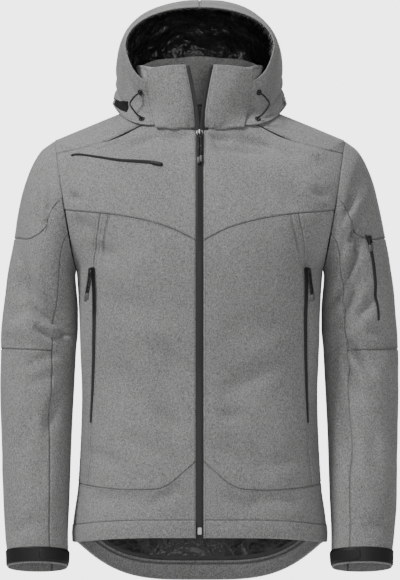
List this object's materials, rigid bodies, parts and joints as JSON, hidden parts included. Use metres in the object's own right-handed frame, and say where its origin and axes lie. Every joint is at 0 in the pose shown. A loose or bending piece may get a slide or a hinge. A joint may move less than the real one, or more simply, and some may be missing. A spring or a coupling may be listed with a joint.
{
  "type": "softshell jacket",
  "caption": "Hooded softshell jacket in grey melange with a front zip, zipped pockets, an adjustable hood and cuff straps, filled out as if worn",
  "frame": {"origin": "middle of the neck, level with the place where the shoulder seams meet the collar, where the wearer's shoulders carry the jacket", "axes": "front towards -Y, the wearer's left towards +X, up +Z"},
  "size_m": [0.636, 0.317, 0.9468],
  "materials": {
    "shell": "matte grey melange bonded softshell",
    "lining": "smooth black taffeta",
    "tape": "matte dark woven zip tape",
    "strap": "matte black webbing",
    "pull": "matte black cord",
    "metal": "satin grey metal",
    "eyelet": "matte black",
    "cord": "braided black cord"
  },
  "bodies": {
    "jacket": {"hem_front_left": "shell", "front_lower_left": "shell", "front_main_left": "shell", "front_side_left": "shell", "front_chest_left": "shell", "hem_front_right": "shell", "front_lower_right": "shell", "front_main_right": "shell", "front_side_right": "shell", "front_chest_right": "shell", "shoulder_left": "shell", "shoulder_right": "shell", "hem_back": "shell", "back_lower": "shell", "back_yoke": "shell", "body_lining": "lining", "sleeve_cap_left": "shell", "sleeve_upper_left": "shell", "sleeve_fore_left": "shell", "sleeve_under_left": "shell", "cuff_strap_left": "strap", "cuff_tab_left": "strap", "sleeve_cap_right": "shell", "sleeve_upper_right": "shell", "sleeve_fore_right": "shell", "sleeve_under_right": "shell", "cuff_strap_right": "strap", "cuff_tab_right": "strap", "collar_front_left": "shell", "collar_front_right": "shell", "collar_back": "shell", "hood_left": "shell", "hood_right": "shell", "hood_lining": "lining", "hood_under": "strap", "zip_tape_left": "tape", "zip_tape_right": "tape", "zip_slider": "metal", "zip_stop": "metal", "side_zip_left": "tape", "side_left_slider": "metal", "side_zip_right": "tape", "side_right_slider": "metal", "chest_zip": "tape", "chest_slider": "pull", "sleeve_zip": "tape", "sleeve_slider": "metal", "eyelet_left_upper": "eyelet", "eyelet_left_lower": "eyelet", "eyelet_right_upper": "eyelet", "eyelet_right_lower": "eyelet", "drawcord_left": "cord", "drawcord_right": "cord"},
    "front_pull": {"zip_pull": "pull"},
    "side_pull_left": {"side_left_pull": "pull"},
    "side_pull_right": {"side_right_pull": "pull"},
    "arm_pull": {"sleeve_pull": "pull"}
  },
  "joints": [
    {"name": "front_pull_hinge", "type": "hinge", "parent": "jacket", "child": "front_pull", "pos_m": [0, -0.08621, -0.03778], "axis": [-1, 0, 0], "range_deg": [0, 80]},
    {"name": "side_pull_left_hinge", "type": "hinge", "parent": "jacket", "child": "side_pull_left", "pos_m": [0.17176, -0.09515, -0.25441], "axis": [-0.6842, -0.7293, 0], "range_deg": [0, 90]},
    {"name": "side_pull_right_hinge", "type": "hinge", "parent": "jacket", "child": "side_pull_right", "pos_m": [-0.17176, -0.09515, -0.25441], "axis": [-0.6842, 0.7293, 0], "range_deg": [0, 90]},
    {"name": "arm_pull_hinge", "type": "hinge", "parent": "jacket", "child": "arm_pull", "pos_m": [0.26823, -0.06765, -0.20295], "axis": [-0.7561, -0.6545, 0], "range_deg": [0, 90]}
  ]
}
